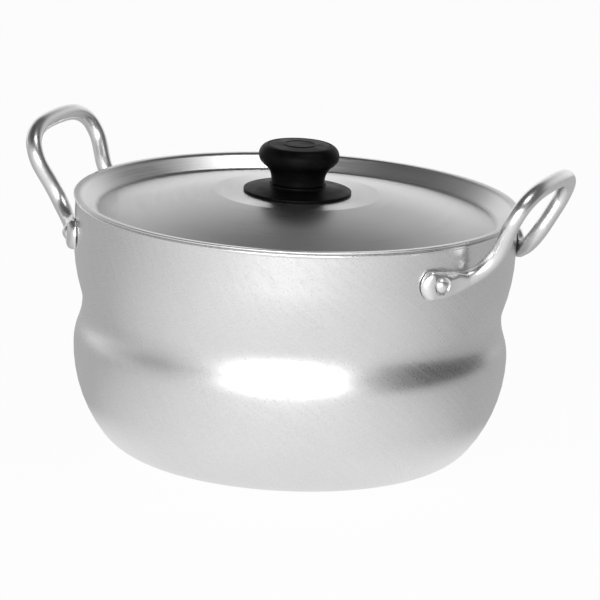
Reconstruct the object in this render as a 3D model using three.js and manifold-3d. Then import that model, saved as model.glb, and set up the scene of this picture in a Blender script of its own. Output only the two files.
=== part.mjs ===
// A lidded aluminium cooking pot: a spun shell with a belly and a waist, two bent-rod loop
// handles riveted to its upright band, and a pressed lid that carries a moulded knob.
// Millimetres, +Z up. The base stands on Z = 0 and the handles point along X.
import * as THREE from 'three';
import Module from 'manifold-3d';
import { mergeVertices } from 'three/addons/utils/BufferGeometryUtils.js';

// Pot shell, measured on its outside
const potRadius = 122.5; // upright band below the rim
const potHeight = 141.8; // table to the top of the rim bead
const wallThickness = 2;
const rimStandOut = 1.3; // rim bead proud of the band
const bandHeight = 21.9; // top of the rim down to the shoulder
const waistDrop = 37; // shoulder down to the waist
const waistDepth = 6; // waist drawn in from the band
const waistRoundShare = 0.16; // hollow share of the bend between waist and shoulder
const bellyDrop = 23.1; // waist down to the belly
const bellyInset = 1.9; // belly inside the band
const bellyRoundShare = 0.49; // round share of the bend between belly and waist
const baseInset = 42.1; // edge of the flat base inside the band
const baseCornerRadius = 30;

// Handles
const rodRadius = 4.5;
const handleLean = THREE.MathUtils.degToRad(25.2); // loop leaning out from upright
const rivetDrop = 19.4; // top of the rim down to the rivets
const rivetSpacing = 121.7; // straight distance between one handle's rivets
const footThickness = 4.5;
const footWidth = 16;
const footSquareness = 3.2; // power of the foot's rounded-rectangle section
const footOverhang = 9; // rivet to the cut end
const footBlendStart = 2; // rivet to where the flat foot starts to turn into round rod
const footBlend = 20; // length over which it does
const bendRadius = 20.5; // of the one bend from foot to leg
const bendShare = 0.95; // most of the run from wall to corner that the bend may take
const legHalfWidth = 34.1;
const legRise = 17.5;
const loopHalfWidth = 39.3; // where the loop is widest
const widestRise = 31.3;
const loopRise = 49.9; // rivets up to the middle of the rod at the top
const loopSquareness = 2.8; // power of the arch's rounded shape

// Rivets
const rivetShankRadius = 2.5;
const rivetHeadRadius = 4.2;
const rivetHeadHeight = 3;
const rivetTailRadius = 5.5; // low head inside the pot
const rivetTailHeight = 1.6;
const pocketMargin = 2; // pocket pressed into the foot, beyond the rivet's head
const pocketDepth = 1.2;

// Lid, measured on its underside
const lidThickness = 1.2;
const lidOverlap = 1; // lid's edge past the middle of the rim bead
const lidFitGap = 0.8; // sloping wall inside the pot's mouth
const lidWellDepth = 8.6;
const lidWallRun = 8; // how far the sloping wall leads inwards
const lidWellRound = 3;
const lidShoulderRound = 3;
const lidFlatRadius = 46;
const lidFlatRise = 4.75; // flat middle above the lid's edge
const lidFlatRound = 6;
const lidCrown = 1; // bulge of the panel between well and flat middle

// Knob skirt and grip
const skirtRadius = 29.9;
const skirtEdge = 1.2; // thickness of the skirt's rim
const skirtSlopeHeight = 3.1; // underside to the foot of the collar
const collarHeight = 1.6;
const collarRadius = 15.4;
const collarFlare = 1.4; // foot of the collar wider than its top
const spigotRadius = 9; // grip's locating spigot in the skirt
const spigotLength = 2;
const neckRadius = 14.8;
const neckBeadStandOut = 0.4;
const neckBeadHeight = 0.7;
const neckStraight = 1.4; // grip's base up to the start of the hollow
const headRound = 6;
const headRise = 15.6; // grip's base up to the widest part of the head
const headLip = 0.6; // rim of the head round the cap
const headStandOut = 4.1; // widest part of the head past that rim

// Cap in the top of the grip
const capRadius = 17.3;
const capThickness = 2;
const capDome = 0.5;
const capRingRadius = 8.5; // plain raised ring
const capRingWidth = 1.6;
const capRingHeight = 0.4;

// Knob fixing
const screwRadius = 2.4;
const screwHeadRadius = 4.8;
const screwHeadHeight = 2.8;
const screwSlotWidth = 1.2;
const screwSlotDepth = 1.3;
const screwTipGap = 2; // screw's tip short of the insert's far end
const insertWall = 1.8;
const insertLength = 12;
const washerRadius = 8;
const washerThickness = 1;

// Fits
const seatGap = 0.25; // between faces that lie on each other
const boreClearance = 0.3; // all round a pin in its hole

// Fineness of curves
const potSides = 56;
const knobSides = 36;
const pinSides = 16;
const rodStations = 72;
const rodSides = 12;
const chordError = 0.2; // how far a flat may lie off a turned curve
const archPoints = 4;
const bendPoints = 6;
const mergeDistance = 1e-4;
const cutReach = 20; // how far a cutter reaches past the metal that it cuts

// Places that follow from the sizes above
const mouthRadius = potRadius - wallThickness;
const rimBeadRadius = (wallThickness + rimStandOut) / 2;
const rimBeadCentre = mouthRadius + rimBeadRadius;
const rivetHeight = potHeight - rivetDrop;
const footInside = potRadius + seatGap;
const footCentre = footInside + footThickness / 2;
const footOutside = footInside + footThickness;
const rivetAngle = Math.asin(rivetSpacing / 2 / footCentre);
const rivetHoleRadius = rivetShankRadius + boreClearance;
const pocketRadius = rivetHeadRadius + pocketMargin;
const lidSeat = potHeight + seatGap;
const lidFlatUnder = lidSeat + lidFlatRise;
const lidFlatTop = lidFlatUnder + lidThickness;
const screwHoleRadius = screwRadius + boreClearance;
const insertRadius = screwHoleRadius + insertWall;
const skirtBase = lidFlatTop + seatGap;
const skirtTop = skirtBase + skirtSlopeHeight + collarHeight;
const gripBase = skirtTop + seatGap;
const spigotBase = gripBase - spigotLength;
const recessRadius = capRadius + boreClearance;
const lipRadius = recessRadius + headLip;
const headCentre = lipRadius + headStandOut - headRound;
const gripTop = gripBase + headRise + Math.sqrt(headRound ** 2 - (lipRadius - headCentre) ** 2);
const capBase = gripTop - capThickness;
const washerTop = lidFlatUnder - seatGap;
const screwHeadTop = washerTop - washerThickness - seatGap;
const insertTop = spigotBase + insertLength;

const wasm = await Module();
wasm.setup();

function solidOf(geometry) {
  const bare = geometry.clone();
  bare.deleteAttribute('normal');
  bare.deleteAttribute('uv');
  const merged = mergeVertices(bare, mergeDistance);
  return new wasm.Manifold(
    new wasm.Mesh({
      numProp: 3,
      vertProperties: new Float32Array(merged.attributes.position.array),
      triVerts: new Uint32Array(merged.index.array),
    }),
  );
}

function geometryOf(solid) {
  const mesh = solid.getMesh();
  const geometry = new THREE.BufferGeometry();
  geometry.setAttribute('position', new THREE.BufferAttribute(mesh.vertProperties, 3));
  geometry.setIndex(new THREE.BufferAttribute(mesh.triVerts, 1));
  geometry.computeVertexNormals();
  return geometry;
}

function cutFrom(geometry, cutters) {
  const solid = cutters.reduce((rest, cutter) => rest.subtract(solidOf(cutter)), solidOf(geometry));
  return geometryOf(solid);
}

// Turns an outline of [radius, height] points, solid on its left, about the Z axis
function turned(outline, sides) {
  const points = outline.map(([radius, height]) => new THREE.Vector2(radius, height));
  return new THREE.LatheGeometry(points, sides).rotateX(Math.PI / 2);
}

// A ring with a hole through its middle: the outline runs back to its first point
function turnedRing(outline, sides) {
  return turned([...outline, outline[0]], sides);
}

function arc(centreRadius, centreHeight, radius, from, to) {
  const widestStep = 2 * Math.acos(1 - Math.min(chordError / radius, 1));
  const steps = Math.max(2, Math.ceil(Math.abs(to - from) / widestStep));
  return Array.from({ length: steps + 1 }, (_, step) => {
    const angle = from + ((to - from) * step) / steps;
    return [centreRadius + radius * Math.cos(angle), centreHeight + radius * Math.sin(angle)];
  });
}

// Two arcs that lead from one upright tangent up to another
function sBend([fromRadius, fromHeight], [toRadius, toHeight], firstShare) {
  const inwards = fromRadius - toRadius;
  const rise = toHeight - fromHeight;
  const total = (rise ** 2 + inwards ** 2) / (2 * Math.abs(inwards));
  const turn = 2 * Math.atan2(Math.abs(inwards), rise);
  const first = total * firstShare;
  const second = total - first;
  if (inwards > 0) {
    return [
      ...arc(fromRadius - first, fromHeight, first, 0, turn),
      ...arc(toRadius + second, toHeight, second, Math.PI + turn, Math.PI).slice(1),
    ];
  }
  return [
    ...arc(fromRadius + first, fromHeight, first, Math.PI, Math.PI - turn),
    ...arc(toRadius - second, toHeight, second, -turn, 0).slice(1),
  ];
}

// Rounds off each corner of an open outline that names a radius
function rounded(corners) {
  return corners.flatMap(({ at, round }, index) => {
    if (!round) {
      return [at];
    }
    const corner = new THREE.Vector2(...at);
    const back = new THREE.Vector2(...corners[index - 1].at).sub(corner);
    const ahead = new THREE.Vector2(...corners[index + 1].at).sub(corner);
    const room = Math.min(back.length(), ahead.length()) / 2;
    const turn = Math.PI - back.angleTo(ahead);
    const cutBack = Math.min(round * Math.tan(turn / 2), room);
    const radius = cutBack / Math.tan(turn / 2);
    const start = corner.clone().addScaledVector(back.normalize(), cutBack);
    const side = Math.sign(ahead.cross(back));
    const centre = new THREE.Vector2(back.y, -back.x).multiplyScalar(side * radius).add(start);
    const from = Math.atan2(start.y - centre.y, start.x - centre.x);
    return arc(centre.x, centre.y, radius, from, from + side * turn);
  });
}

// The outline moved to its left, with mitred corners
function movedLeft(outline, distance) {
  const leftOf = (from, to) => {
    const way = new THREE.Vector2(to[0] - from[0], to[1] - from[1]).normalize();
    return new THREE.Vector2(-way.y, way.x);
  };
  return outline.map((point, index) => {
    const first = Math.max(index - 1, 0);
    const last = Math.min(index + 1, outline.length - 1);
    const before = leftOf(outline[first], outline[first + 1]);
    const after = leftOf(outline[last - 1], outline[last]);
    const middle = before.clone().add(after).normalize();
    const reach = distance / middle.dot(before);
    return [point[0] + middle.x * reach, point[1] + middle.y * reach];
  });
}

// Skins a row of equal rings and closes both ends
function lofted(rings) {
  const sides = rings[0].length;
  const last = (rings.length - 1) * sides;
  const faces = [];
  for (let start = 0; start < last; start += sides) {
    for (let side = 0; side < sides; side += 1) {
      const near = start + side;
      const next = start + ((side + 1) % sides);
      faces.push(near, next, next + sides, near, next + sides, near + sides);
    }
  }
  for (let side = 1; side < sides - 1; side += 1) {
    faces.push(0, side + 1, side, last, last + side, last + side + 1);
  }
  const geometry = new THREE.BufferGeometry().setFromPoints(rings.flat());
  geometry.setIndex(faces);
  return geometry;
}

// A round cutter square to the pot's wall, between two distances from the pot's axis
function wallCutter(angle, radius, from, to) {
  return new THREE.CylinderGeometry(radius, radius, to - from, pinSides)
    .rotateZ(-Math.PI / 2)
    .translate((from + to) / 2, 0, rivetHeight)
    .rotateZ(angle);
}

function rivetHole(angle) {
  return wallCutter(angle, rivetHoleRadius, mouthRadius - cutReach, footOutside + cutReach);
}

function rivetPocket(angle) {
  return wallCutter(angle, pocketRadius, footOutside - pocketDepth, footOutside + cutReach);
}

function potOutline() {
  const shoulderHeight = potHeight - bandHeight;
  const waist = [potRadius - waistDepth, shoulderHeight - waistDrop];
  const belly = [potRadius - bellyInset, waist[1] - bellyDrop];
  const baseEdge = potRadius - baseInset;
  const spread = belly[0] - baseEdge;
  const lift = belly[1] - baseCornerRadius;
  const bowlSpan = spread ** 2 + lift ** 2 - baseCornerRadius ** 2;
  const bowlRadius = bowlSpan / (2 * (spread - baseCornerRadius));
  const bowlTurn = Math.asin(lift / (bowlRadius - baseCornerRadius));
  const beadFoot = -Math.acos((wallThickness - rimBeadRadius) / rimBeadRadius);
  const beadHeight = potHeight - rimBeadRadius;
  const outside = [
    [0, 0],
    ...arc(baseEdge, baseCornerRadius, baseCornerRadius, -Math.PI / 2, -bowlTurn),
    ...arc(belly[0] - bowlRadius, belly[1], bowlRadius, -bowlTurn, 0).slice(1),
    ...sBend(belly, waist, bellyRoundShare).slice(1),
    ...sBend(waist, [potRadius, shoulderHeight], waistRoundShare).slice(1),
    [potRadius, beadHeight + rimBeadRadius * Math.sin(beadFoot)],
  ];
  const bead = arc(rimBeadCentre, beadHeight, rimBeadRadius, beadFoot, Math.PI);
  const inside = movedLeft(outside, wallThickness).slice(0, -1).reverse();
  return [...outside, ...bead.slice(1), ...inside];
}

function potShell(handleAngles) {
  const holes = handleAngles.flatMap((angle) => [
    rivetHole(angle + rivetAngle),
    rivetHole(angle - rivetAngle),
  ]);
  return cutFrom(turned(potOutline(), potSides), holes);
}

// Half of the rod's middle line, from the cut end of one foot up to the top of the loop.
// The leg's line meets a tangent of the wall at a corner, which one flat bend rounds off.
function halfHandlePath() {
  const onWall = (angle) =>
    new THREE.Vector3(footCentre * Math.cos(angle), footCentre * Math.sin(angle), rivetHeight);
  const onLoop = (halfWidth, rise) =>
    new THREE.Vector3(footCentre + rise * Math.tan(handleLean), halfWidth, rivetHeight + rise);
  const widest = onLoop(loopHalfWidth, widestRise);
  const legSlope = (loopHalfWidth - legHalfWidth) / (widestRise - legRise);
  const corner = onLoop(legHalfWidth - legSlope * legRise, 0);
  const endAngle = rivetAngle + footOverhang / footCentre;
  const leavingAngle = Math.min(2 * Math.atan2(corner.y, corner.x), rivetAngle);
  const leaving = onWall(leavingAngle);
  const footWay = corner.clone().sub(leaving).normalize();
  const legWay = widest.clone().sub(corner).normalize();
  const inward = legWay.clone().addScaledVector(footWay, -legWay.dot(footWay)).normalize();
  const turn = footWay.angleTo(legWay);
  const room = bendShare * corner.distanceTo(leaving);
  const cutBack = Math.min(bendRadius * Math.tan(turn / 2), room);
  const radius = cutBack / Math.tan(turn / 2);
  const bendStart = corner.clone().addScaledVector(footWay, -cutBack);
  const bend = Array.from({ length: bendPoints + 1 }, (_, index) => {
    const angle = (turn * index) / bendPoints;
    return bendStart
      .clone()
      .addScaledVector(footWay, radius * Math.sin(angle))
      .addScaledVector(inward, radius * (1 - Math.cos(angle)));
  });
  const archRise = loopRise - widestRise;
  const arch = Array.from({ length: archPoints }, (_, index) => {
    const angle = (Math.PI / 2) * ((index + 1) / (archPoints + 1));
    return onLoop(
      loopHalfWidth * Math.cos(angle) ** (2 / loopSquareness),
      widestRise + archRise * Math.sin(angle) ** (2 / loopSquareness),
    );
  });
  const foot = [onWall(endAngle), onWall((endAngle + leavingAngle) / 2), leaving];
  return [...foot, ...bend, widest, ...arch, onLoop(0, loopRise)];
}

// A rod that is round along the loop and pressed flat against the wall at both feet
function handleRod() {
  const half = halfHandlePath();
  const mirrored = half.slice(0, -1).reverse().map(({ x, y, z }) => new THREE.Vector3(x, -y, z));
  const curve = new THREE.CatmullRomCurve3([...half, ...mirrored]);
  const length = curve.getLength();
  const blendStart = footOverhang + footBlendStart;
  const blendEnd = blendStart + footBlend;
  const rings = Array.from({ length: rodStations + 1 }, (_, station) => {
    const share = station / rodStations;
    const centre = curve.getPointAt(share);
    const along = curve.getTangentAt(share);
    const radial = new THREE.Vector3(centre.x, centre.y, 0).normalize();
    const outward = radial.clone().addScaledVector(along, -radial.dot(along)).normalize();
    const across = new THREE.Vector3().crossVectors(along, outward);
    const fromEnd = Math.min(share, 1 - share) * length;
    const roundness = THREE.MathUtils.smoothstep(fromEnd, blendStart, blendEnd);
    const halfThickness = THREE.MathUtils.lerp(footThickness / 2, rodRadius, roundness);
    const halfBreadth = THREE.MathUtils.lerp(footWidth / 2, rodRadius, roundness);
    const power = 2 / THREE.MathUtils.lerp(footSquareness, 2, roundness);
    const fromAxis = Math.hypot(centre.x, centre.y);
    centre.addScaledVector(radial, Math.max(0, footInside + halfThickness - fromAxis));
    return Array.from({ length: rodSides }, (__, side) => {
      const angle = (2 * Math.PI * (side + 0.5)) / rodSides;
      const squared = (value) => Math.sign(value) * Math.abs(value) ** power;
      return centre
        .clone()
        .addScaledVector(outward, halfThickness * squared(Math.cos(angle)))
        .addScaledVector(across, halfBreadth * squared(Math.sin(angle)));
    });
  });
  const cuts = [rivetAngle, -rivetAngle].flatMap((angle) => [rivetHole(angle), rivetPocket(angle)]);
  return cutFrom(lofted(rings), cuts);
}

// Domed head in the foot's pocket, shank through foot and wall, low head inside the pot
function rivet(angle) {
  const wallSag = mouthRadius - Math.sqrt(mouthRadius ** 2 - rivetTailRadius ** 2);
  const tailSeat = mouthRadius * Math.cos(Math.PI / potSides) - wallSag - seatGap;
  const headSeat = footOutside - pocketDepth + seatGap;
  const domed = (radius, height, seat, direction) => {
    const ball = (radius ** 2 + height ** 2) / (2 * height);
    const spread = Math.asin(Math.min(radius / ball, 1));
    const middle = seat + direction * (height - ball);
    return arc(0, middle, ball, direction * (Math.PI / 2 - spread), (direction * Math.PI) / 2);
  };
  const outline = [
    ...domed(rivetTailRadius, rivetTailHeight, tailSeat, -1).reverse(),
    [rivetShankRadius, tailSeat],
    [rivetShankRadius, headSeat],
    ...domed(rivetHeadRadius, rivetHeadHeight, headSeat, 1),
  ];
  return turned(outline, pinSides)
    .rotateY(Math.PI / 2)
    .translate(0, 0, rivetHeight)
    .rotateZ(angle);
}

function lidPanel() {
  const shoulder = mouthRadius - lidFitGap;
  const wellRadius = shoulder - lidWallRun;
  const wellUnder = lidSeat - lidWellDepth;
  const crownMiddle = [(lidFlatRadius + wellRadius) / 2, (lidFlatUnder + wellUnder) / 2 + lidCrown];
  const under = rounded([
    { at: [screwHoleRadius, lidFlatUnder] },
    { at: [lidFlatRadius, lidFlatUnder], round: lidFlatRound },
    { at: crownMiddle },
    { at: [wellRadius, wellUnder], round: lidWellRound + lidThickness },
    { at: [shoulder, lidSeat], round: lidShoulderRound },
    { at: [rimBeadCentre + lidOverlap, lidSeat] },
  ]);
  return turnedRing([...under, ...movedLeft(under, lidThickness).reverse()], potSides);
}

function knobSkirt() {
  const counterboreFloor = spigotBase - seatGap;
  const counterboreRadius = spigotRadius + boreClearance;
  return turnedRing(
    [
      [screwHoleRadius, skirtBase],
      [skirtRadius, skirtBase],
      [skirtRadius, skirtBase + skirtEdge],
      [collarRadius + collarFlare, skirtBase + skirtSlopeHeight],
      [collarRadius, skirtTop],
      [counterboreRadius, skirtTop],
      [counterboreRadius, counterboreFloor],
      [screwHoleRadius, counterboreFloor],
    ],
    knobSides,
  );
}

function knobGrip() {
  const neckTop = gripBase + neckStraight;
  const headHeight = gripBase + headRise;
  const neckOffset = neckRadius - headCentre;
  const neckBelow = headHeight - neckTop;
  const hollow = (neckOffset ** 2 + neckBelow ** 2 - headRound ** 2) / (2 * (headRound - neckOffset));
  const joint = Math.atan2(neckBelow, headCentre - neckRadius - hollow);
  const boreRadius = insertRadius + boreClearance;
  const boreRoof = insertTop + seatGap;
  const recessFloor = capBase - seatGap;
  const lipAngle = Math.acos((lipRadius - headCentre) / headRound);
  return turned(
    [
      [0, boreRoof],
      [boreRadius, boreRoof],
      [boreRadius, spigotBase],
      [spigotRadius, spigotBase],
      [spigotRadius, gripBase],
      [neckRadius + neckBeadStandOut, gripBase],
      [neckRadius + neckBeadStandOut, gripBase + neckBeadHeight],
      ...arc(neckRadius + hollow, neckTop, hollow, Math.PI, joint),
      ...arc(headCentre, headHeight, headRound, joint - Math.PI, lipAngle).slice(1),
      [recessRadius, gripTop],
      [recessRadius, recessFloor],
      [0, recessFloor],
    ],
    knobSides,
  );
}

function knobCap() {
  const ringOutside = capRingRadius + capRingWidth / 2;
  const ringInside = capRingRadius - capRingWidth / 2;
  const domeAt = (radius) => gripTop + capDome * (1 - (radius / capRadius) ** 2);
  return turned(
    [
      [0, capBase],
      [capRadius, capBase],
      [capRadius, gripTop],
      [ringOutside, domeAt(ringOutside)],
      [capRingRadius, domeAt(capRingRadius) + capRingHeight],
      [ringInside, domeAt(ringInside)],
      [0, gripTop + capDome],
    ],
    knobSides,
  );
}

function tube(innerRadius, outerRadius, bottom, top) {
  return turnedRing(
    [
      [innerRadius, bottom],
      [outerRadius, bottom],
      [outerRadius, top],
      [innerRadius, top],
    ],
    pinSides,
  );
}

function knobScrew() {
  const headBottom = screwHeadTop - screwHeadHeight;
  const shape = turned(
    [
      [0, headBottom],
      [screwHeadRadius, headBottom],
      [screwHeadRadius, screwHeadTop],
      [screwRadius, screwHeadTop],
      [screwRadius, insertTop - screwTipGap],
      [0, insertTop - screwTipGap],
    ],
    pinSides,
  );
  const slot = new THREE.BoxGeometry(2 * cutReach, screwSlotWidth, 2 * screwSlotDepth);
  return cutFrom(shape, [slot.translate(0, 0, headBottom)]);
}

const brushedAluminium = { color: 0xc4c5c6, roughness: 0.38, metalness: 1 };
const polishedAluminium = { color: 0xd6d7d8, roughness: 0.18, metalness: 1 };
const blackPhenolic = { color: 0x0d0d0e, roughness: 0.42, metalness: 0 };
const brass = { color: 0xb08d4a, roughness: 0.35, metalness: 1 };
const platedSteel = { color: 0xa9abad, roughness: 0.3, metalness: 1 };

function piece(name, geometry, finish) {
  const mesh = new THREE.Mesh(geometry, new THREE.MeshStandardMaterial(finish));
  mesh.name = name;
  return mesh;
}

const handleSides = [
  { side: 'right', angle: 0, front: -1 },
  { side: 'left', angle: Math.PI, front: 1 },
];

const pot = new THREE.Group();
pot.add(piece('pot_body', potShell(handleSides.map(({ angle }) => angle)), brushedAluminium));
for (const { side, angle, front } of handleSides) {
  const handle = new THREE.Group();
  handle.rotation.z = angle;
  handle.add(
    piece(`${side}_handle`, handleRod(), polishedAluminium),
    piece(`${side}_front_rivet`, rivet(front * rivetAngle), polishedAluminium),
    piece(`${side}_rear_rivet`, rivet(-front * rivetAngle), polishedAluminium),
  );
  pot.add(handle);
}

const insert = tube(screwHoleRadius, insertRadius, spigotBase, insertTop);
const washer = tube(screwHoleRadius, washerRadius, washerTop - washerThickness, washerTop);

const lid = new THREE.Group();
lid.add(
  piece('lid_panel', lidPanel(), brushedAluminium),
  piece('knob_skirt', knobSkirt(), blackPhenolic),
  piece('knob_grip', knobGrip(), blackPhenolic),
  piece('knob_cap', knobCap(), blackPhenolic),
  piece('knob_insert', insert, brass),
  piece('knob_screw', knobScrew(), platedSteel),
  piece('knob_washer', washer, platedSteel),
);

const cookingPot = new THREE.Group();
cookingPot.add(pot, lid);

export default cookingPot;
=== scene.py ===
import math

import bmesh
import bpy
from mathutils import Matrix, Vector, noise
from mathutils.geometry import interpolate_bezier


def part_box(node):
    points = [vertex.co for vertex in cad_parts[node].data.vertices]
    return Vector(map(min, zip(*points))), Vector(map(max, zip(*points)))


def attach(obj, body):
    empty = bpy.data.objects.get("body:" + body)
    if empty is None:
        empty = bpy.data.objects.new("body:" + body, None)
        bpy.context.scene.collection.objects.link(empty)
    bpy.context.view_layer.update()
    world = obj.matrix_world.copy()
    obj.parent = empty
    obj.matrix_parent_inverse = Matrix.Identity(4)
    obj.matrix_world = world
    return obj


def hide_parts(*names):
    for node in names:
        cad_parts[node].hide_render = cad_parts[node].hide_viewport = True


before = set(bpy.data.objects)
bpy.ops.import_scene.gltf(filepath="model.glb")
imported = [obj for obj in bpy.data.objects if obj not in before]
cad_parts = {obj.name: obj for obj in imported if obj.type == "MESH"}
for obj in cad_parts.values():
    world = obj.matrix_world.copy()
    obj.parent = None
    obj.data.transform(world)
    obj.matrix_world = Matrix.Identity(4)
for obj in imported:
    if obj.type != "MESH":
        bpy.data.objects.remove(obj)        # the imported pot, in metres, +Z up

mm = 0.001
tiny = mm * 1e-3                  # points closer than this become one
sharpEdge = math.radians(35)      # edges that bend more than this stay sharp
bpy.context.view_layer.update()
print("frame loaded:", len(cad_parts), "nodes")


# Camera, at the photograph's angle

view = {
    "target": Vector((1.6, 7.6, 84.7)) * mm,
    "azimuth": 21.93,             # degrees to the right of the front
    "elevation": 14.01,
    "roll": 2.76,
    "distance": 2787 * mm,
    "lens": 300,                  # on a 36 mm sensor
    "nearest": 10 * mm,
}


def addCamera():
    azimuth, elevation = math.radians(view["azimuth"]), math.radians(view["elevation"])
    back = Vector((math.sin(azimuth) * math.cos(elevation), -math.cos(azimuth) * math.cos(elevation),
                   math.sin(elevation)))
    level = Vector((math.cos(azimuth), math.sin(azimuth), 0))
    right = Matrix.Rotation(math.radians(view["roll"]), 3, back) @ level
    data = bpy.data.cameras.new("photoCamera")
    data.lens = view["lens"]
    data.clip_start = view["nearest"]
    camera = bpy.data.objects.new("photoCamera", data)
    camera.matrix_world = (Matrix.Translation(view["target"] + back * view["distance"])
                           @ Matrix((right, back.cross(right), back)).transposed().to_4x4())
    bpy.context.scene.collection.objects.link(camera)
    bpy.context.scene.camera = camera


addCamera()
print("camera set")


# Drawing pen for everything that is turned about the pot's axis

class Outline:
    # works in the XZ plane: X is the distance from the axis, Z the height, left turns are positive
    bendStep, fewestSteps = 6, 3      # degrees to a facet of a bend, and facets it has at least

    def __init__(self, radius, height, heading=0):
        self.bm = bmesh.new()
        self.tip = self.bm.verts.new((radius, 0, height))
        self.heading = math.radians(heading)

    def turn(self, degrees):
        self.heading += math.radians(degrees)

    def runTo(self, radius, height):
        step = Vector((radius, 0, height)) - self.tip.co
        self.tip = bmesh.ops.extrude_vert_indiv(self.bm, verts=[self.tip])["verts"][0]
        bmesh.ops.translate(self.bm, verts=[self.tip], vec=step)
        self.heading = math.atan2(step.z, step.x)

    def run(self, length):
        self.runTo(self.tip.co.x + math.cos(self.heading) * length,
                   self.tip.co.z + math.sin(self.heading) * length)

    def bend(self, radius, degrees):
        toCentre = Vector((-math.sin(self.heading), 0, math.cos(self.heading)))
        centre = self.tip.co + toCentre * math.copysign(radius, degrees)
        steps = max(self.fewestSteps, math.ceil(abs(degrees) / self.bendStep))
        last = bmesh.ops.spin(self.bm, geom=[self.tip], cent=centre, axis=(0, -1, 0),
                              angle=math.radians(degrees), steps=steps)["geom_last"]
        self.tip = last[0]
        self.turn(degrees)

    def follow(self, moves):
        for size, degrees in moves:
            if degrees:
                self.bend(size, degrees)
            else:
                self.run(size)

    def spun(self, steps):
        bmesh.ops.spin(self.bm, geom=self.bm.verts[:] + self.bm.edges[:], cent=(0, 0, 0), axis=(0, 0, 1),
                       angle=2 * math.pi, steps=steps, use_merge=True)
        bmesh.ops.remove_doubles(self.bm, verts=self.bm.verts[:], dist=tiny)
        bmesh.ops.recalc_face_normals(self.bm, faces=self.bm.faces[:])
        return self.bm


def backAlong(moves, wall):
    # the same moves drawn back on the wall's other side, to the left for a positive wall
    return [(size - math.copysign(wall, degrees * wall) if degrees else size, -degrees)
            for size, degrees in reversed(moves)]


def makePiece(name, bm, body, slot, material, *nodes):
    mesh = bpy.data.meshes.new(name)
    bm.to_mesh(mesh)
    bm.free()
    mesh.shade_smooth()
    mesh.set_sharp_from_angle(angle=sharpEdge)
    mesh.materials.append(material)
    piece = bpy.data.objects.new(name, mesh)
    bpy.context.scene.collection.objects.link(piece)
    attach(piece, body)
    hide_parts(*nodes)
    print("made", name, len(mesh.polygons), "faces")


# Materials

metal = {
    "streak": (26, 1300),             # noise per metre along and across a brush mark
    "streakNoise": (3, 0.65),         # its detail and roughness
    "wallGrey": (0.72, 0.84),         # darkest and brightest mark
    "wallSpread": (0.34, 0.66),       # values of the noise that take up this range
    "spread": (0.3, 0.7),             # the same for every other range
    "wallRough": (0.24, 0.36),
    "wallRadius": 122 * mm,           # at which the brush marks keep their length
    "brushAngles": (64, 36),          # degrees down to the right, on the left side and on the right
    "brushTurns": (-0.6, 1.0),        # radians from the front between which one becomes the other
    "wallCloud": (14, 3, 0.25),       # noise per metre, detail and share
    "wallGrain": (900, 2, 0.45),
    "wallBump": (0.16, 0.15 * mm),    # strength and depth
    "lidGrey": (0.72, 0.84),
    "lidRough": (0.26, 0.40),
    "lidRadius": 60 * mm,
    "lidAnisotropy": 0.6,
    "lidCloud": (18, 3, 0.35),
    "lidBump": (0.1, 0.1 * mm),
    "rodGrey": (0.80, 0.90),
    "rodRough": (0.26, 0.38),
    "rodCloud": (60, 4),
    "rodGrain": (700, 3, 0.4),
    "rodBump": (0.15, 0.2 * mm),
    "blackGrey": (0.002, 0.005),
    "blackRough": (0.36, 0.50),
    "blackGloss": 0.05,
    "blackCloud": (120, 4),
    "blackGrain": (1500, 2),
    "blackBump": (0.1, 0.1 * mm),
    "smallRadius": 5 * mm,            # of the turned fixings
    "smallRough": 0.12,               # what their streaks add
    "brass": ((0.62, 0.44, 0.20), (0.74, 0.56, 0.28), 0.25),     # dark, bright, least roughness
    "steel": ((0.50, 0.50, 0.51), (0.62, 0.62, 0.63), 0.22),
}


def addNode(tree, kind, inputs=None, **settings):
    node = tree.nodes.new("ShaderNode" + kind)
    for key, value in settings.items():
        setattr(node, key, value)
    for key, value in (inputs or {}).items():
        if isinstance(value, bpy.types.NodeSocket):
            tree.links.new(value, node.inputs[key])
        else:
            node.inputs[key].default_value = value
    return node


def newMaterial(name, **constants):
    material = bpy.data.materials.new(name)
    material.use_nodes = True
    shader = material.node_tree.nodes["Principled BSDF"]
    for key, value in constants.items():
        shader.inputs[key.replace("_", " ")].default_value = value
    return material, material.node_tree, shader


def ramp(tree, value, fromLow, fromHigh, low, high):
    return addNode(tree, "MapRange", {"Value": value, "From Min": fromLow, "From Max": fromHigh,
                                      "To Min": low, "To Max": high}).outputs["Result"]


def feed(tree, value, socket, low, high, spread=metal["spread"]):
    # spreads a noise over a range of greys or numbers and links it
    tree.links.new(ramp(tree, value, *spread, low, high), socket)


def speckle(tree, place, scale, detail):
    return addNode(tree, "TexNoise", {"Vector": place, "Scale": scale, "Detail": detail}).outputs["Fac"]


def blended(tree, share, first, second):
    return addNode(tree, "Mix", {0: share, 2: first, 3: second}).outputs[0]


def emboss(tree, shader, height, strength, depth):
    bump = addNode(tree, "Bump", {"Height": height, "Strength": strength, "Distance": depth})
    tree.links.new(bump.outputs[0], shader.inputs["Normal"])


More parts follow.
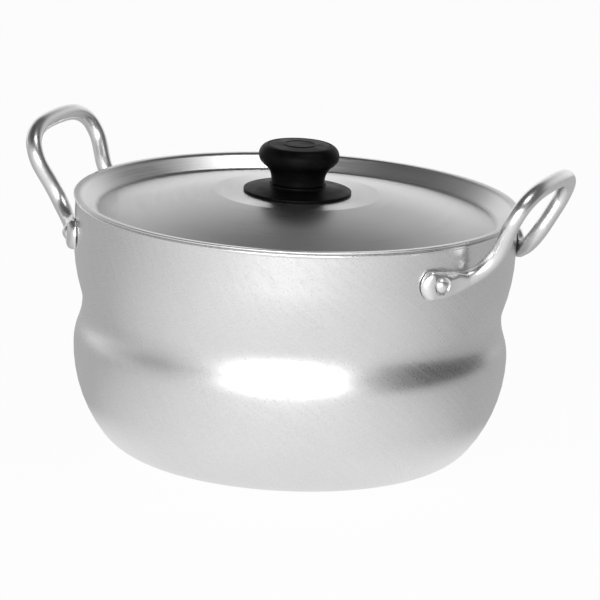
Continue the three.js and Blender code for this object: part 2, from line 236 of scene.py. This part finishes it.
def roundTheAxis(tree, radius):
    # how far round the pot, how high and how far out, with the seam at the back
    place = addNode(tree, "TexCoord").outputs["Object"]
    parts = addNode(tree, "SeparateXYZ", {"Vector": place})
    front = addNode(tree, "Math", {0: parts.outputs["Y"], 1: -1}, operation="MULTIPLY")
    angle = addNode(tree, "Math", {0: parts.outputs["X"], 1: front.outputs[0]}, operation="ARCTAN2")
    turn = addNode(tree, "Math", {0: angle.outputs[0], 1: radius}, operation="MULTIPLY")
    flat = addNode(tree, "CombineXYZ", {"X": parts.outputs["X"], "Y": parts.outputs["Y"]})
    out = addNode(tree, "VectorMath", {0: flat.outputs[0]}, operation="LENGTH")
    return {"turn": turn.outputs[0], "height": parts.outputs["Z"], "out": out.outputs["Value"],
            "angle": angle.outputs[0], "place": place}


def streaks(tree, vector, degrees):
    along, across = metal["streak"]
    detail, rough = metal["streakNoise"]
    turned = addNode(tree, "Mapping", {"Vector": vector, "Rotation": (0, 0, math.radians(degrees))})
    drawn = addNode(tree, "Mapping", {"Vector": turned.outputs[0], "Scale": (along, across, 1)})
    return addNode(tree, "TexNoise", {"Vector": drawn.outputs[0], "Scale": 1, "Detail": detail,
                                      "Roughness": rough}).outputs["Fac"]


def turningMarks(tree, around):
    # fine rings, as left by a lathe
    rings = addNode(tree, "CombineXYZ", {"X": around["turn"], "Y": around["out"], "Z": around["height"]})
    return streaks(tree, rings.outputs[0], 0)


def brushedWall():
    material, tree, shader = newMaterial("brushedAluminium", Metallic=1)
    around = roundTheAxis(tree, metal["wallRadius"])
    sheet = addNode(tree, "CombineXYZ", {"X": around["turn"], "Y": around["height"], "Z": around["out"]})
    steep, shallow = (streaks(tree, sheet.outputs[0], degrees) for degrees in metal["brushAngles"])
    fine = blended(tree, ramp(tree, around["angle"], *metal["brushTurns"], 0, 1), steep, shallow)
    *cloud, cloudShare = metal["wallCloud"]
    *grain, grainShare = metal["wallGrain"]
    clouds = speckle(tree, around["place"], *cloud)
    marks = blended(tree, grainShare, fine, speckle(tree, around["place"], *grain))
    tone = blended(tree, cloudShare, marks, clouds)
    feed(tree, tone, shader.inputs["Base Color"], *metal["wallGrey"], metal["wallSpread"])
    feed(tree, marks, shader.inputs["Roughness"], *metal["wallRough"])
    emboss(tree, shader, fine, *metal["wallBump"])
    return material


def spunLid():
    material, tree, shader = newMaterial("spunAluminium", Metallic=1, Anisotropic=metal["lidAnisotropy"])
    around = roundTheAxis(tree, metal["lidRadius"])
    fine = turningMarks(tree, around)
    *cloud, cloudShare = metal["lidCloud"]
    mixed = blended(tree, cloudShare, fine, speckle(tree, around["place"], *cloud))
    feed(tree, mixed, shader.inputs["Base Color"], *metal["lidGrey"])
    feed(tree, mixed, shader.inputs["Roughness"], *metal["lidRough"])
    emboss(tree, shader, fine, *metal["lidBump"])
    tangent = addNode(tree, "Tangent", direction_type="RADIAL", axis="Z")
    tree.links.new(tangent.outputs[0], shader.inputs["Tangent"])
    return material


def polishedRod():
    material, tree, shader = newMaterial("polishedAluminium", Metallic=1)
    place = addNode(tree, "TexCoord").outputs["Object"]
    *grain, grainShare = metal["rodGrain"]
    clouds = speckle(tree, place, *metal["rodCloud"])
    mixed = blended(tree, grainShare, clouds, speckle(tree, place, *grain))
    feed(tree, mixed, shader.inputs["Base Color"], *metal["rodGrey"])
    feed(tree, mixed, shader.inputs["Roughness"], *metal["rodRough"])
    emboss(tree, shader, mixed, *metal["rodBump"])
    return material


def moulded():
    material, tree, shader = newMaterial("blackPhenolic", Specular_IOR_Level=metal["blackGloss"])
    place = addNode(tree, "TexCoord").outputs["Object"]
    cloud = speckle(tree, place, *metal["blackCloud"])
    feed(tree, cloud, shader.inputs["Base Color"], *metal["blackGrey"])
    feed(tree, cloud, shader.inputs["Roughness"], *metal["blackRough"])
    emboss(tree, shader, speckle(tree, place, *metal["blackGrain"]), *metal["blackBump"])
    return material


def turnedMetal(name, dark, bright, rough):
    material, tree, shader = newMaterial(name, Metallic=1)
    fine = turningMarks(tree, roundTheAxis(tree, metal["smallRadius"]))
    tint = addNode(tree, "Mix", {0: fine, 6: (*dark, 1), 7: (*bright, 1)}, data_type="RGBA")
    tree.links.new(tint.outputs[2], shader.inputs["Base Color"])
    feed(tree, fine, shader.inputs["Roughness"], rough, rough + metal["smallRough"])
    return material


wallMetal, lidMetal, rodMetal, black = brushedWall(), spunLid(), polishedRod(), moulded()
brass = turnedMetal("brass", *metal["brass"])
steel = turnedMetal("platedSteel", *metal["steel"])
print("materials made")


# Pot body, drawn up its outside, over the bead and down its inside

pot = {
    "outside": [
        (80.4 * mm, 0),           # flat base
        (30 * mm, 52.21),         # its corner
        (78.63 * mm, 37.79),      # bowl up to the belly
        (32.89 * mm, 20.13),      # over the belly
        (34.23 * mm, -20.13),     # into the waist
        (18.73 * mm, -18.42),     # out of the waist
        (98.35 * mm, 18.42),      # shoulder
    ],
    "wall": 2 * mm,
    "rimTop": 141.8 * mm,
    "beadRadius": 1.2 * mm,
    "beadFillet": 0.8 * mm,
    "steps": 256,
}


def potBody():
    wall, bead, fillet = pot["wall"], pot["beadRadius"], pot["beadFillet"]
    lean = math.acos((fillet + wall - bead) / (bead + fillet))
    beadDrop = (bead + fillet) * math.sin(lean)
    pen = Outline(0, 0)
    pen.follow(pot["outside"])
    band = pot["rimTop"] - bead - beadDrop - pen.tip.co.z
    pen.run(band)
    pen.bend(fillet, -math.degrees(lean))
    pen.bend(bead, 180 + math.degrees(lean))
    pen.run(beadDrop)
    pen.follow(backAlong(pot["outside"] + [(band, 0)], wall))
    return pen.spun(pot["steps"])


makePiece("potShell", potBody(), "pot", "brushed_aluminium", wallMetal, "pot_body")


# Lid panel, drawn out along its top and back along its underside

lid = {
    "holeRadius": 2.7 * mm,
    "flatTop": 148 * mm,
    "along": [
        (43.02 * mm, 0),          # flat middle
        (4 * mm, -8.6),           # its edge
        (674.3 * mm, -5.5),       # slightly crowned slope
        (3 * mm, 61.17),          # well
        (7.958 * mm, 0),          # sloping wall
        (4.2 * mm, -47.07),       # shoulder
        (1.8 * mm, 0),            # flange
    ],
    "thickness": 1.2 * mm,
    "steps": 256,
}


def lidPanel():
    pen = Outline(lid["holeRadius"], lid["flatTop"])
    pen.follow(lid["along"])
    pen.bend(lid["thickness"] / 2, -180)
    pen.follow(backAlong(lid["along"], -lid["thickness"]))
    pen.runTo(lid["holeRadius"], lid["flatTop"])
    return pen.spun(lid["steps"])


makePiece("lidPlate", lidPanel(), "lid", "brushed_aluminium", lidMetal, "lid_panel")


# Knob: skirt, grip and cap, moulded in black

knob = {
    "holeRadius": 2.7 * mm,
    "skirtRadius": 29.9 * mm,
    "skirtEdge": 1.2 * mm,
    "skirtRise": 3.1 * mm,        # top of the slope above the lid's flat
    "collarRadius": 15.4 * mm,
    "collarHollow": 1.4 * mm,     # fillet between slope and collar
    "spigot": (9 * mm, 2 * mm),   # radius and length
    "neckRadius": 14.8 * mm,
    "neckBead": 0.35 * mm,
    "neckStraight": 0.7 * mm,
    "hollow": (11.193 * mm, -55.68),
    "head": (6 * mm, 127.22),
    "boreRadius": 4.8 * mm,
    "capRadius": 17.3 * mm,
    "capDome": 0.5 * mm,
    "capEdge": 88,                # degrees that its edge turns
    "domeLeft": 0.2,              # share of the dome's fall that is left at the ring
    "ringRadius": 8.5 * mm,       # plain raised ring on the cap
    "ringHalf": 0.8 * mm,
    "ringSide": 45,               # degrees up its side
    "ringRound": 0.9,             # its curve against a full arc
    "gap": 0.25 * mm,
    "edge": 0.35 * mm,            # rounding of the moulded edges
    "steps": 128,
}


def knobSkirt():
    low, high = (corner.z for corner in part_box("knob_skirt"))
    edge, hollow, collar = knob["edge"], knob["collarHollow"], knob["collarRadius"]
    spigot = knob["spigot"][0] + knob["gap"]
    floor = high - knob["spigot"][1] - knob["gap"]
    pen = Outline(knob["holeRadius"], low)
    pen.runTo(knob["skirtRadius"] - edge, low)
    pen.bend(edge, 90)
    pen.run(knob["skirtEdge"] - 2 * edge)
    fall, run = knob["skirtRise"] - knob["skirtEdge"], knob["skirtRadius"] - collar - hollow
    slope = math.degrees(math.atan2(fall, run))
    pen.bend(edge, 90 - slope)
    pen.runTo(collar + hollow, low + knob["skirtRise"])
    pen.bend(hollow, -(90 - slope))
    pen.runTo(collar, high - edge)
    pen.bend(edge, 90)
    pen.runTo(spigot, high)
    pen.runTo(spigot, floor)
    pen.runTo(knob["holeRadius"], floor)
    pen.runTo(knob["holeRadius"], low)
    return pen.spun(knob["steps"])


def knobGrip():
    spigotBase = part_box("knob_grip")[0].z
    spigot, length = knob["spigot"]
    base = spigotBase + length
    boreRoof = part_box("knob_insert")[1].z + knob["gap"]
    recess, neck, bead = knob["capRadius"] + knob["gap"], knob["neckRadius"], knob["neckBead"]
    pen = Outline(0, boreRoof)
    pen.runTo(knob["boreRadius"], boreRoof)
    pen.runTo(knob["boreRadius"], spigotBase)
    pen.runTo(spigot, spigotBase)
    pen.runTo(spigot, base)
    pen.runTo(neck, base)
    pen.bend(bead, 180)
    pen.turn(-90)
    pen.run(knob["neckStraight"])
    pen.bend(*knob["hollow"])
    pen.bend(*knob["head"])
    pen.runTo(recess + knob["edge"], pen.tip.co.z)
    pen.bend(knob["edge"], 90)
    pen.runTo(recess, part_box("knob_cap")[0].z - knob["gap"])
    pen.runTo(0, pen.tip.co.z)
    return pen.spun(knob["steps"])


def knobCap():
    low, high = (corner.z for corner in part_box("knob_cap"))
    edge, ring, half = knob["edge"], knob["ringRadius"], knob["ringHalf"]
    dome = high - knob["edge"] - low          # leaves the ring the rest
    pen = Outline(0, low)
    pen.runTo(knob["capRadius"], low)
    pen.runTo(knob["capRadius"], low + dome - knob["capDome"] - edge)
    pen.bend(edge, knob["capEdge"])
    pen.runTo(ring + half, low + dome - knob["capDome"] * knob["domeLeft"])
    pen.turn(-knob["ringSide"])
    pen.bend(half / math.sin(math.radians(knob["ringSide"])) * knob["ringRound"], 2 * knob["ringSide"])
    pen.runTo(0, low + dome)
    return pen.spun(knob["steps"])


makePiece("knobBase", knobSkirt(), "lid", "black_phenolic", black, "knob_skirt")
makePiece("knobHandle", knobGrip(), "lid", "black_phenolic", black, "knob_grip")
makePiece("knobTop", knobCap(), "lid", "black_phenolic", black, "knob_cap")


# Knob fixing, under the lid and inside the knob

fixing = {
    "screwRadius": 2.4 * mm,
    "headRadius": 4.8 * mm,
    "headHeight": 2.8 * mm,
    "headRound": 1.6 * mm,
    "slotWidth": 1.2 * mm,
    "slotDepth": 1.3 * mm,
    "innerRing": 2.9 * mm,            # ring of points on the head's flat
    "flatDown": -0.99,                # normals below this face straight down
    "thread": (0.8 * mm, 0.3 * mm),   # pitch and depth
    "insertRadius": 4.5 * mm,
    "insertGroove": 0.5 * mm,
    "washerRadius": 8 * mm,
    "holeRadius": 2.7 * mm,
    "edge": 0.2 * mm,
    "steps": 64,
}


def knobScrew():
    low, tip = (corner.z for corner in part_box("knob_screw"))
    shank, headRound = fixing["screwRadius"], fixing["headRound"]
    pitch, depth = fixing["thread"]
    seat = low + fixing["headHeight"]
    pen = Outline(0, low)
    pen.runTo(fixing["innerRing"], low)
    pen.runTo(fixing["headRadius"] - headRound, low)
    pen.bend(headRound, 90)
    pen.runTo(fixing["headRadius"], seat - fixing["edge"])
    pen.bend(fixing["edge"], 90)
    pen.runTo(shank, seat)
    while pen.tip.co.z < tip - 2 * pitch:     # thread ridges
        pen.runTo(shank, pen.tip.co.z + pitch / 2)
        pen.runTo(shank - depth, pen.tip.co.z + pitch / 2)
    pen.runTo(shank - 2 * depth, tip)
    pen.runTo(0, tip)
    bm = pen.spun(fixing["steps"])
    half = fixing["slotWidth"] / 2
    for side in (-half, half):
        bmesh.ops.bisect_plane(bm, geom=bm.verts[:] + bm.edges[:] + bm.faces[:], plane_co=(0, side, 0),
                               plane_no=(0, 1, 0), dist=tiny / 10)
    slot = [f for f in bm.faces if f.normal.z < fixing["flatDown"] and abs(f.calc_center_median().y) < half
            and f.calc_center_median().z < low + fixing["edge"]]
    raised = bmesh.ops.extrude_face_region(bm, geom=slot)["geom"]
    bmesh.ops.delete(bm, geom=slot, context="FACES")
    bmesh.ops.translate(bm, verts=[g for g in raised if isinstance(g, bmesh.types.BMVert)],
                        vec=(0, 0, fixing["slotDepth"]))
    bmesh.ops.recalc_face_normals(bm, faces=bm.faces[:])
    return bm


def knobInsert():
    low, high = (corner.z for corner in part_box("knob_insert"))
    outer, inner, groove, edge = (fixing["insertRadius"], fixing["holeRadius"], fixing["insertGroove"],
                                  fixing["edge"])
    third = (high - low) / 3
    pen = Outline(inner, low)
    pen.runTo(outer - edge, low)
    pen.bend(edge, 90)
    for share in (1, 2):                      # two grooves that the moulding grips
        pen.runTo(outer, low + third * share - groove)
        pen.runTo(outer - groove, low + third * share)
        pen.runTo(outer, low + third * share + groove)
    pen.runTo(outer, high - edge)
    pen.bend(edge, 90)
    pen.runTo(inner, high)
    pen.runTo(inner, low)
    return pen.spun(fixing["steps"])


def knobWasher():
    low, high = (corner.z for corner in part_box("knob_washer"))
    edge = fixing["edge"]
    pen = Outline(fixing["holeRadius"], low)
    pen.runTo(fixing["washerRadius"] - edge, low)
    pen.bend(edge, 90)
    pen.runTo(fixing["washerRadius"], high - edge)
    pen.bend(edge, 90)
    pen.runTo(fixing["holeRadius"], high)
    pen.runTo(fixing["holeRadius"], low)
    return pen.spun(fixing["steps"])


makePiece("knobScrew", knobScrew(), "lid", "plated_steel", steel, "knob_screw")
makePiece("knobInsert", knobInsert(), "lid", "brass", brass, "knob_insert")
makePiece("knobWasher", knobWasher(), "lid", "plated_steel", steel, "knob_washer")


# Handles: a round rod swept along its path, its ends pressed flat and stamped

handle = {
    "rodRadius": 4.4 * mm,
    "lean": 25.2,                 # degrees out from upright
    "footCentre": 125 * mm,       # middle of the foot from the pot's axis
    "footThick": 4.5 * mm,
    "footWide": 16 * mm,
    "footSwell": 3.3 * mm,        # half thickness before pressing
    "backPower": 0.35,            # squareness of the side against the wall
    "pressPower": 7,              # and of the press's soft stop
    "footBlend": (2 * mm, 22 * mm),   # past the rivet, where the foot narrows to the rod's width
    "footFlat": (6 * mm, 36 * mm),    # where it gains the rod's thickness
    "noseStart": 5.2 * mm,        # rivet to where the end rounds off
    "nose": (2.2 * mm, 4.4 * mm),     # length of the rounding at the edges, and what the middle adds
    "noseEdge": 0.3 * mm,         # thickness left at the very end
    "noseRings": 8,
    "footPoints": 5,
    "bend": 20.5 * mm,            # radius of the one bend from the foot to the leg
    "bendPoints": 6,
    "leg": (34.1 * mm, 17.5 * mm),    # half width and rise
    "widest": (39.3 * mm, 31.3 * mm),
    "loopRise": 49.75 * mm,
    "archPoints": 4,
    "archPower": 2.8,
    "perSpan": 15,
    "sides": 96,
}

stamp = {
    "depth": 2.1 * mm,            # at the upper edge
    "lower": (0.2 * mm, 3.4 * mm),    # where the hollow starts, at the nose and at the rod
    "lip": 0.7 * mm,              # thin edge left standing at the top
    "lipStep": 0.5 * mm,
    "start": (0.1 * mm, 0.9 * mm),    # from the nose's inner edge, where it begins and is full
    "reach": 14 * mm,             # rivet to the hollow's tail
    "fade": 7 * mm,
    "narrows": 2.2 * mm,          # how far its top comes down on the way
    "slopePower": 1.3,
    "slopeLimit": 1.1,
    "ramp": 0.5,                  # share of the thickness over which the rounded edge takes it up
    "wrinkle": (0.8 * mm, 2.6 * mm),  # how far the lip wanders, and over what length
    "wrinkleStart": (-3 * mm, 2 * mm),
    "wrinkleRow": 3.7,            # row of the noise
    "seat": (4.3 * mm, 1.05 * mm),    # flat disc under the rivet's head
    "seatEdge": 1 * mm,
}


def smoothStep(low, high, value):
    share = min(max((value - low) / (high - low), 0), 1)
    return share * share * (3 - 2 * share)


def smoothPath(points, perSpan):
    path = []
    for i, (here, there) in enumerate(zip(points, points[1:])):
        before, after = points[max(i - 1, 0)], points[min(i + 2, len(points) - 1)]
        path += interpolate_bezier(here, here + (there - before) / 6, there - (after - here) / 6, there,
                                   perSpan)[:-1]
    return path + [points[-1]]


def handlePath(rivetAngle, height):
    out = handle["footCentre"]

    def onLoop(half, rise):
        return Vector((out + rise * math.tan(math.radians(handle["lean"])), half, height + rise))

    # the leg's straight line meets a tangent of the wall at a corner, which one flat bend rounds off
    (half, rise), (wide, widestRise) = handle["leg"], handle["widest"]
    corner = onLoop(half - rise * (wide - half) / (widestRise - rise), 0)
    touch = 2 * math.atan2(corner.y, corner.x)
    end = rivetAngle + handle["noseStart"] / out
    count = handle["footPoints"]
    side = []
    for i in range(count + 1):
        angle = end + (touch - end) * i / count
        side.append(Vector((out * math.cos(angle), out * math.sin(angle), height)))
    foot, leg = (corner - side[-1]).normalized(), (onLoop(wide, widestRise) - corner).normalized()
    turn, bend = foot.angle(leg), handle["bend"]
    inward = (leg - foot * leg.dot(foot)).normalized()
    start = corner - foot * bend * math.tan(turn / 2)
    for i in range(handle["bendPoints"] + 1):
        angle = turn * i / handle["bendPoints"]
        side.append(start + foot * bend * math.sin(angle) + inward * bend * (1 - math.cos(angle)))
    side.append(onLoop(wide, widestRise))
    arch, power = handle["loopRise"] - widestRise, 2 / handle["archPower"]
    for i in range(1, handle["archPoints"] + 1):
        angle = math.pi / 2 * i / (handle["archPoints"] + 1)
        side.append(onLoop(wide * math.cos(angle) ** power, widestRise + arch * math.sin(angle) ** power))
    other = [Vector((p.x, -p.y, p.z)) for p in reversed(side)]
    return smoothPath(side + [onLoop(0, handle["loopRise"])] + other, handle["perSpan"])


def stampDepth(past, up):
    # past: distance from the rivet towards the loop; up: height above the foot's middle
    nose, reach = -handle["noseStart"], stamp["reach"]
    tail = smoothStep(reach, reach - stamp["fade"], past)
    start = smoothStep(nose + stamp["start"][0], nose + stamp["start"][1], past)
    wander, length = stamp["wrinkle"]
    wave = 0.5 + 0.5 * noise.noise(Vector((past / length, stamp["wrinkleRow"], 0)))
    top = handle["footWide"] / 2 - stamp["lip"] - smoothStep(0, reach, past) * stamp["narrows"]
    top -= wander * wave * smoothStep(*stamp["wrinkleStart"], past)
    atNose, atRod = stamp["lower"]
    low = atNose + (atRod - atNose) * smoothStep(nose, reach, past)
    slope = min(max((up - low) / (top - low), 0), stamp["slopeLimit"]) ** stamp["slopePower"]
    hollow = stamp["depth"] * slope * smoothStep(top + stamp["lipStep"], top, up) * tail * start
    radius, depth = stamp["seat"]
    seat = depth * smoothStep(radius + stamp["seatEdge"], radius, math.hypot(past, up))
    return max(hollow, seat)


def handleRod(rivetAngle, height):
    path = handlePath(rivetAngle, height)
    walked = [0]
    for here, there in zip(path, path[1:]):
        walked.append(walked[-1] + (there - here).length)
    rod, halfWide, halfThick = handle["rodRadius"], handle["footWide"] / 2, handle["footThick"] / 2
    stations = []
    for i, point in enumerate(path):
        along = (path[min(i + 1, len(path) - 1)] - path[max(i - 1, 0)]).normalized()
        radial = Vector((point.x, point.y, 0)).normalized()
        outward = (radial - along * radial.dot(along)).normalized()
        fromEnd = min(walked[i], walked[-1] - walked[i])
        narrowness = smoothStep(*handle["footBlend"], fromEnd - handle["noseStart"])
        roundness = smoothStep(*handle["footFlat"], fromEnd - handle["noseStart"])
        keep = halfThick + (rod - halfThick) * roundness
        clear = handle["footCentre"] - halfThick + keep - math.hypot(point.x, point.y)
        place = Matrix((outward, along.cross(outward), along)).transposed().to_4x4()
        place.translation = point + radial * max(0, clear)
        size = Matrix.Diagonal((handle["footSwell"] + (rod - handle["footSwell"]) * roundness,
                                halfWide + (rod - halfWide) * narrowness, 1, 1))
        stations.append({"place": place, "size": size, "fromEnd": fromEnd, "keep": keep, "round": roundness,
                         "nose": 0, "way": 1 if walked[i] < walked[-1] / 2 else -1})
    rings = handle["noseRings"]
    first, last = stations[0], stations[-1]
    front = [dict(first, nose=90 * (rings - i) / rings) for i in range(rings)]
    stations = front + stations + [dict(last, nose=90 * (i + 1) / rings) for i in range(rings)]

    bm = bmesh.new()
    ring = bmesh.ops.create_circle(bm, cap_ends=False, radius=1, segments=handle["sides"])["verts"]
    edges = bm.edges[:]
    before = Matrix.Identity(4)
    lofted = []
    for i, station in enumerate(stations):
        if i:
            made = bmesh.ops.extrude_edge_only(bm, edges=edges)["geom"]
            ring = [g for g in made if isinstance(g, bmesh.types.BMVert)]
            fresh = set(ring)
            edges = [g for g in made if isinstance(g, bmesh.types.BMEdge) and set(g.verts) <= fresh]
        shape = station["place"] @ station["size"]
        bmesh.ops.transform(bm, matrix=shape @ before.inverted(), verts=ring)
        before = shape
        lofted.append(ring)

    for station, ring in zip(stations, lofted):
        pressFoot(station, ring)
    ends = [e for e in bm.edges if e.is_boundary]
    bmesh.ops.holes_fill(bm, edges=ends, sides=0)
    bmesh.ops.recalc_face_normals(bm, faces=bm.faces[:])
    return bm


def pressFoot(station, ring):
    if station["round"] == 1:
        return
    place, keep = station["place"], station["keep"]
    back = place.inverted()
    halfWide = handle["footWide"] / 2
    past = station["fromEnd"] - handle["noseStart"]
    lean = math.radians(station["nose"])
    edge, middle = handle["nose"]
    power, flatness = handle["pressPower"], 1 - station["round"]
    for vert in ring:
        at = back @ vert.co
        if at.x < 0:                                          # the back lies flat out to its edges
            flat = -keep * min(-at.x / keep, 1) ** handle["backPower"]
            at.x = flat + (at.x - flat) * station["round"]
        squeeze = (1 + abs(at.x / keep) ** power) ** (-1 / power)     # soft stop at the press's two faces
        at.x *= squeeze + (1 - squeeze) * station["round"]
        if at.x > 0:
            inFront = min(at.x / (stamp["ramp"] * keep), 1)
            at.x -= stampDepth(past, at.y) * flatness * inFront * math.cos(lean)
        if lean:
            length = edge + middle * (1 - (at.y / halfWide) ** 2)
            left = handle["noseEdge"] / (2 * keep)
            at.x = -keep + (at.x + keep) * (math.cos(lean) * (1 - left) + left)
            at.z -= station["way"] * length * math.sin(lean)
        vert.co = place @ at


# Rivets: domed outside, upset over the wall's inside

rivet = {
    "headRadius": 4.2 * mm,
    "headHeight": 3 * mm,
    "shankRadius": 2.5 * mm,
    "tailRadius": 5.5 * mm,
    "tailHeight": 1.6 * mm,
    "headSeat": 126.3 * mm,       # from the pot's axis
    "tailSeat": 119.9 * mm,
    "edge": 0.3 * mm,
    "steps": 48,
}


def domeArc(radius, rise):
    # radius of the ball that a low dome is cut from, and degrees from its rim to its middle
    ball = (radius ** 2 + rise ** 2) / (2 * rise)
    return ball, math.degrees(math.asin(min(radius / ball, 1)))


def handleRivet(angle, height):
    edge = rivet["edge"]
    pen = Outline(0, rivet["tailSeat"] - rivet["tailHeight"])
    pen.bend(*domeArc(rivet["tailRadius"], rivet["tailHeight"] - edge))
    pen.runTo(rivet["tailRadius"], rivet["tailSeat"])
    pen.runTo(rivet["shankRadius"], rivet["tailSeat"])
    pen.runTo(rivet["shankRadius"], rivet["headSeat"])
    pen.runTo(rivet["headRadius"], rivet["headSeat"])
    pen.turn(90)
    pen.run(edge)
    ball, sweep = domeArc(rivet["headRadius"], rivet["headHeight"] - edge)
    pen.turn(90 - sweep)
    pen.bend(ball, sweep)
    bm = pen.spun(rivet["steps"])
    turn = Matrix.Rotation(angle, 4, "Z") @ Matrix.Rotation(math.pi / 2, 4, "Y")
    bmesh.ops.transform(bm, matrix=Matrix.Translation((0, 0, height)) @ turn, verts=bm.verts[:])
    return bm


def rivetPlace(node):
    low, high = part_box(node)
    middle = (low + high) / 2
    return math.atan2(middle.y, middle.x), middle.z


front, height = rivetPlace("right_front_rivet")
rod = handleRod((rivetPlace("right_rear_rivet")[0] - front) / 2, height)
for side in ("right", "left"):
    front, height = rivetPlace(side + "_front_rivet")
    rear = rivetPlace(side + "_rear_rivet")[0]
    middle = Vector((math.cos(front) + math.cos(rear), math.sin(front) + math.sin(rear)))
    copy = rod.copy()
    bmesh.ops.rotate(copy, verts=copy.verts[:], cent=(0, 0, 0),
                     matrix=Matrix.Rotation(math.atan2(middle.y, middle.x), 3, "Z"))
    makePiece(side + "Handle", copy, "pot", "polished_aluminium", rodMetal, side + "_handle")
    for end, angle in (("Front", front), ("Rear", rear)):
        makePiece(side + end + "Rivet", handleRivet(angle, height), "pot", "polished_aluminium", rodMetal,
                  side + "_" + end.lower() + "_rivet")
rod.free()


# Floor, room and lamps

stage = {
    "floorRadius": 4,             # metres, as the lamps' distances and sizes are
    "floorSides": 96,
    "floorGrey": 0.9,
    "floorRough": 0.9,
    "paper": (40, 4),             # its noise per metre and detail
    "paperSpread": 0.01,
    "floorWhite": 0.96,           # share of plain white that the camera sees, the rest is the lit paper
    "paintedGlowNear": 0.88,             # painted pool of light that the metal sees on the floor beside the pot
    "paintedGlowFar": (0.48, 0.92),      # the painted pool further off: dimmer at the sides, bright in front
    "paintedGlowFades": (0.105, 0.140),  # the painted light fades between these distances from the pot's axis
    "lampWay": (0.26, -0.966, 0),     # towards the camera side
    "roomLevel": 0.61,
    "roomSides": [                # direction, cosines where it starts and is full, level
        ((0.883, 0.469, 0), 0.50, 0.95, 0.10),      # dark to the right and back
        ((-0.5, 0.866, 0), 0.38, 0.75, 1.05),       # pale behind and to the left
        ((0.26, -0.966, 0), 0.50, 0.95, 1.00),      # round the lamp
    ],
    "roomTop": 0.06,
    "topEdge": (0.35, 0.58),      # sines of the elevations between which the room darkens
    "roomPatches": [              # laid over that, in the same form
        ((-0.77, -0.44, 0.47), 0.92, 0.985, 0.26),      # dim to the left of the lamp
        ((-0.88, 0.08, 0.47), 0.92, 0.985, 0.22),
    ],
    "lamps": [                    # name, azimuth, elevation, distance, size, radiance
        ("cameraSide", 20, 16, 1.6, (1.46, 0.86), 5),
        ("overhead", 80, 68, 2.0, (1.0, 1.0), 3),
    ],
}


def addFloor():
    bm = bmesh.new()
    bmesh.ops.create_circle(bm, cap_ends=True, radius=stage["floorRadius"],
                            segments=stage["floorSides"])
    mesh = bpy.data.meshes.new("floor")
    bm.to_mesh(mesh)
    bm.free()
    material, tree, shader = newMaterial("paleFloor", Roughness=stage["floorRough"], Specular_IOR_Level=0)
    place = addNode(tree, "TexCoord").outputs["Object"]
    grey, spread = stage["floorGrey"], stage["paperSpread"]
    paper = speckle(tree, place, *stage["paper"])
    feed(tree, paper, shader.inputs["Base Color"], grey - spread, grey + spread)
    # plain white where the camera looks; for the metal, a painted pool of light that is brightest beside
    # the pot and in front, dimmer at the sides, as lamp light would fall; the lit paper for other rays
    rays = addNode(tree, "LightPath").outputs
    away = addNode(tree, "VectorMath", {0: place}, operation="LENGTH").outputs["Value"]
    outward = addNode(tree, "VectorMath", {0: place}, operation="NORMALIZE").outputs["Vector"]
    ahead = addNode(tree, "VectorMath", {0: outward, 1: stage["lampWay"]}, operation="DOT_PRODUCT")
    far = ramp(tree, ahead.outputs["Value"], 0, 1, *stage["paintedGlowFar"])
    # painted pool of light: glow that fades with distance from the pot and away from the lamp's side
    paintedLightPool = ramp(tree, away, *stage["paintedGlowFades"], stage["paintedGlowNear"], far)
    clear = addNode(tree, "Math", {0: rays["Is Glossy Ray"], 1: rays["Is Transmission Ray"]},
                    operation="MAXIMUM")
    glow = blended(tree, clear.outputs[0], 1.0, paintedLightPool)
    seen = addNode(tree, "Math", {0: rays["Is Camera Ray"], 1: stage["floorWhite"], 2: clear.outputs[0]},
                   operation="MULTIPLY_ADD")
    white = addNode(tree, "Emission", {"Color": (1, 1, 1, 1), "Strength": glow})
    mixed = addNode(tree, "MixShader", {0: seen.outputs[0], 1: shader.outputs[0], 2: white.outputs[0]})
    tree.links.new(mixed.outputs[0], tree.nodes["Material Output"].inputs["Surface"])
    mesh.materials.append(material)
    floor = bpy.data.objects.new("floor", mesh)
    bpy.context.scene.collection.objects.link(floor)


def addRoom():
    world = bpy.data.worlds.new("room")
    world.use_nodes = True
    tree = world.node_tree
    look = addNode(tree, "TexCoord").outputs["Generated"]
    way = addNode(tree, "SeparateXYZ", {"Vector": look})

    def patched(level, patches):
        for direction, start, full, patch in patches:
            near = addNode(tree, "VectorMath", {0: look, 1: direction}, operation="DOT_PRODUCT")
            level = ramp(tree, near.outputs["Value"], start, full, level, patch)
        return level

    sides = patched(stage["roomLevel"], stage["roomSides"])
    walls = ramp(tree, way.outputs["Z"], *stage["topEdge"], sides, stage["roomTop"])
    dim = addNode(tree, "Background", {"Color": patched(walls, stage["roomPatches"])})
    rays = addNode(tree, "LightPath")
    white = addNode(tree, "Background", {"Color": (1, 1, 1, 1), "Strength": 1})
    mixed = addNode(tree, "MixShader", {0: rays.outputs["Is Camera Ray"], 1: dim.outputs[0],
                                        2: white.outputs[0]})
    tree.links.new(mixed.outputs[0], tree.nodes["World Output"].inputs["Surface"])
    bpy.context.scene.world = world


def addLamp(name, azimuth, elevation, distance, size, radiance):
    turn, rise = math.radians(azimuth), math.radians(elevation)
    way = Vector((math.sin(turn) * math.cos(rise), -math.cos(turn) * math.cos(rise), math.sin(rise)))
    data = bpy.data.lights.new(name, "AREA")
    data.shape = "ELLIPSE"
    data.size, data.size_y = size
    data.energy = radiance * math.pi * math.pi / 4 * size[0] * size[1]     # watts for that radiance
    lamp = bpy.data.objects.new(name, data)
    lamp.location = view["target"] + way * distance
    lamp.rotation_euler = way.to_track_quat("Z", "Y").to_euler()
    lamp.visible_camera = False
    bpy.context.scene.collection.objects.link(lamp)


addFloor()
addRoom()
for lamp in stage["lamps"]:
    addLamp(*lamp)
bpy.context.scene.view_settings.view_transform = "Standard"
print("stage set:", len(stage["lamps"]), "lamps")
